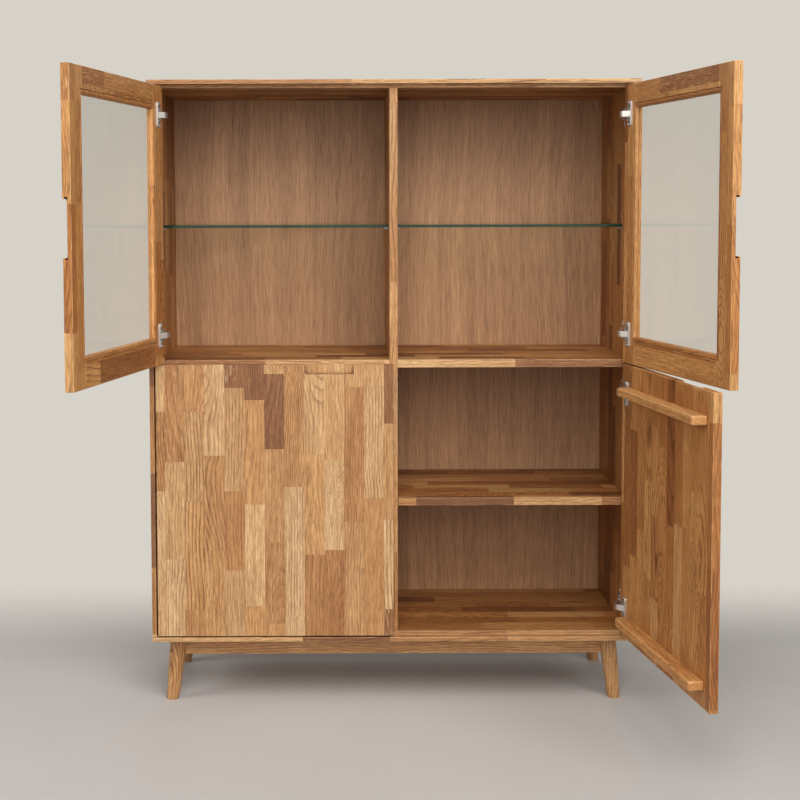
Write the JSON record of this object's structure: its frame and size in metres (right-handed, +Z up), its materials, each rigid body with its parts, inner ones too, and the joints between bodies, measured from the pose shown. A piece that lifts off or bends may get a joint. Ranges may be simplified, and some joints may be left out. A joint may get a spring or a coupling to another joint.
{
  "type": "china cabinet",
  "caption": "Free-standing oak china cabinet with glazed upper doors, panelled lower doors, glass and wooden shelves and splayed tapering legs.",
  "frame": {"origin": "on the floor, under the middle of the carcass", "axes": "+X to the cabinet's right as seen from the front, -Y out of its front, +Z up"},
  "size_m": [1.2741, 0.9218, 1.42],
  "materials": {
    "oak": "oiled, finger-jointed staves",
    "oak_veneer": "oiled veneer",
    "clear_glass": "clear, polished edges",
    "nickel": "bright nickel plate",
    "steel": "zinc plated"
  },
  "bodies": {
    "cabinet": {"top_board": "oak", "bottom_board": "oak", "left_side": "oak", "right_side": "oak", "centre_divider": "oak", "middle_shelf_left": "oak", "middle_shelf_right": "oak", "lower_shelf_left": "oak", "lower_shelf_right": "oak", "glass_shelf_left": "clear_glass", "glass_shelf_right": "clear_glass", "back_panel_left": "oak_veneer", "back_panel_right": "oak_veneer", "shelf_pegs": "steel", "leg_front_left": "oak", "leg_front_right": "oak", "leg_rear_left": "oak", "leg_rear_right": "oak", "front_apron": "oak", "rear_apron": "oak", "left_apron": "oak", "right_apron": "oak", "hinge_plates": "nickel", "hinge_arms": "nickel", "hinge_pins": "nickel", "plate_screws": "steel"},
    "ul_door": {"ul_hinge_stile": "oak", "ul_free_stile": "oak", "ul_top_rail": "oak", "ul_bottom_rail": "oak", "ul_pane": "clear_glass", "ul_level_beads": "oak", "ul_upright_beads": "oak", "ul_hinge_cups": "nickel", "ul_cup_screws": "steel"},
    "ur_door": {"ur_hinge_stile": "oak", "ur_free_stile": "oak", "ur_top_rail": "oak", "ur_bottom_rail": "oak", "ur_pane": "clear_glass", "ur_level_beads": "oak", "ur_upright_beads": "oak", "ur_hinge_cups": "nickel", "ur_cup_screws": "steel"},
    "ll_door": {"ll_panel": "oak", "ll_upper_batten": "oak", "ll_lower_batten": "oak", "ll_batten_screws": "steel", "ll_hinge_cups": "nickel", "ll_cup_screws": "steel"},
    "lr_door": {"lr_panel": "oak", "lr_upper_batten": "oak", "lr_lower_batten": "oak", "lr_batten_screws": "steel", "lr_hinge_cups": "nickel", "lr_cup_screws": "steel"},
    "ul_links": {"ul_hinge_links": "nickel"},
    "ur_links": {"ur_hinge_links": "nickel"},
    "ll_links": {"ll_hinge_links": "nickel"},
    "lr_links": {"lr_hinge_links": "nickel"}
  },
  "joints": [
    {"name": "ul_door_hinge", "type": "hinge", "parent": "cabinet", "child": "ul_door", "pos_m": [-0.53, -0.196, 0], "axis": [0, 0, -1], "range_deg": [-101.6, 8.4]},
    {"name": "ul_link_pivot", "type": "hinge", "parent": "cabinet", "child": "ul_links", "pos_m": [-0.527, -0.176, 0], "axis": [0, 0, -1], "range_deg": [-84.38, 7.02]},
    {"name": "ur_door_hinge", "type": "hinge", "parent": "cabinet", "child": "ur_door", "pos_m": [0.53, -0.196, 0], "axis": [0, 0, 1], "range_deg": [-100.9, 9.1]},
    {"name": "ur_link_pivot", "type": "hinge", "parent": "cabinet", "child": "ur_links", "pos_m": [0.527, -0.176, 0], "axis": [0, 0, 1], "range_deg": [-83.8, 7.6]},
    {"name": "ll_door_hinge", "type": "hinge", "parent": "cabinet", "child": "ll_door", "pos_m": [-0.53, -0.196, 0], "axis": [0, 0, -1], "range_deg": [0, 110]},
    {"name": "ll_link_pivot", "type": "hinge", "parent": "cabinet", "child": "ll_links", "pos_m": [-0.527, -0.176, 0], "axis": [0, 0, -1], "range_deg": [0, 91.35]},
    {"name": "lr_door_hinge", "type": "hinge", "parent": "cabinet", "child": "lr_door", "pos_m": [0.53, -0.196, 0], "axis": [0, 0, 1], "range_deg": [-97.5, 12.5]},
    {"name": "lr_link_pivot", "type": "hinge", "parent": "cabinet", "child": "lr_links", "pos_m": [0.527, -0.176, 0], "axis": [0, 0, 1], "range_deg": [-80.97, 10.43]}
  ],
  "couplings": [
    {"joint": "ul_link_pivot", "follows": "ul_door_hinge", "ratio": 0.83},
    {"joint": "ur_link_pivot", "follows": "ur_door_hinge", "ratio": 0.83},
    {"joint": "ll_link_pivot", "follows": "ll_door_hinge", "ratio": 0.83},
    {"joint": "lr_link_pivot", "follows": "lr_door_hinge", "ratio": 0.83}
  ]
}
